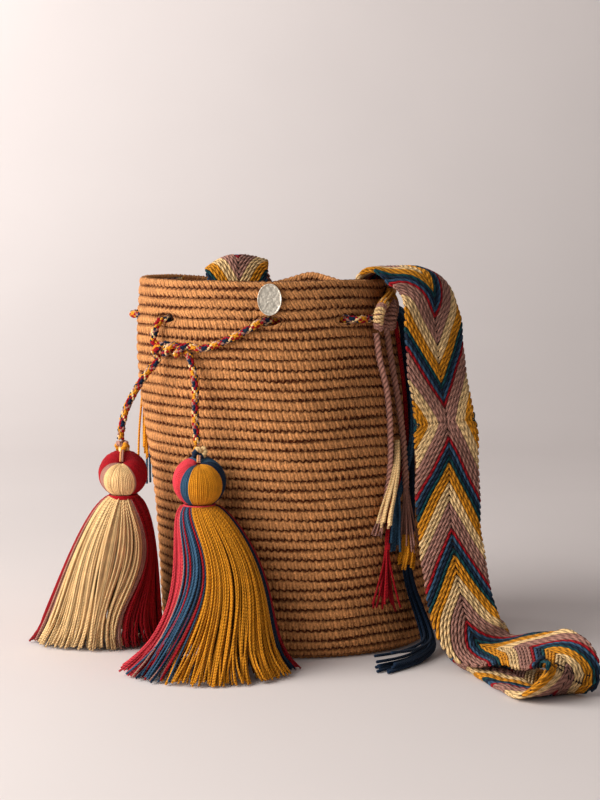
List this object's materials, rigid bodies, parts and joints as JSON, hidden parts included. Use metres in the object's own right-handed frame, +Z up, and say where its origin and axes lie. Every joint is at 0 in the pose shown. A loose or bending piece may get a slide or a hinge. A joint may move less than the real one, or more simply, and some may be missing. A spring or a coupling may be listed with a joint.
{
  "type": "wayuu mochila bag",
  "caption": "Crocheted bucket bag with a drawstring through its wall, tassels on the drawstring's ends, a small metal tag and a wide braided shoulder strap.",
  "frame": {"origin": "centre of the underside of the base", "axes": "+Z up out of the mouth, -Y towards the side with the metal tag, +X to the right as seen from that side"},
  "size_m": [0.4416, 0.3833, 0.3166],
  "materials": {
    "crochet_cotton": "matte, crocheted rows",
    "strap_yarn": "matte, braided yarn",
    "drawstring_yarn": "matte, braided yarn",
    "cream_tassel_yarn": "matte, plied yarn",
    "mustard_tassel_yarn": "matte, plied yarn",
    "binding_yarn": "matte, wound yarn",
    "tag_metal": "hammered, satin",
    "mauve_yarn": "matte, plied yarn",
    "cream_yarn": "matte, plied yarn",
    "red_yarn": "matte, plied yarn",
    "blue_yarn": "matte, plied yarn",
    "navy_yarn": "matte, plied yarn",
    "mustard_yarn": "matte, plied yarn"
  },
  "bodies": {
    "root": {"bag_body": "crochet_cotton", "woven_strap": "strap_yarn", "drawstring": "drawstring_yarn", "drawstring_left_end": "drawstring_yarn", "drawstring_right_end": "drawstring_yarn", "left_end_knot": "drawstring_yarn", "right_end_knot": "drawstring_yarn", "cream_tassel": "cream_tassel_yarn", "mustard_tassel": "mustard_tassel_yarn", "cream_tassel_binding": "binding_yarn", "mustard_tassel_binding": "binding_yarn", "metal_tag": "tag_metal", "right_wrapped_loop": "cream_yarn", "right_mauve_cord_left": "mauve_yarn", "right_mauve_cord_right": "mauve_yarn", "right_cream_fringe": "cream_yarn", "right_red_fringe": "red_yarn", "right_blue_fringe": "blue_yarn", "right_navy_fringe": "navy_yarn", "left_mustard_fringe": "mustard_yarn", "left_blue_fringe": "blue_yarn"}
  },
  "joints": []
}
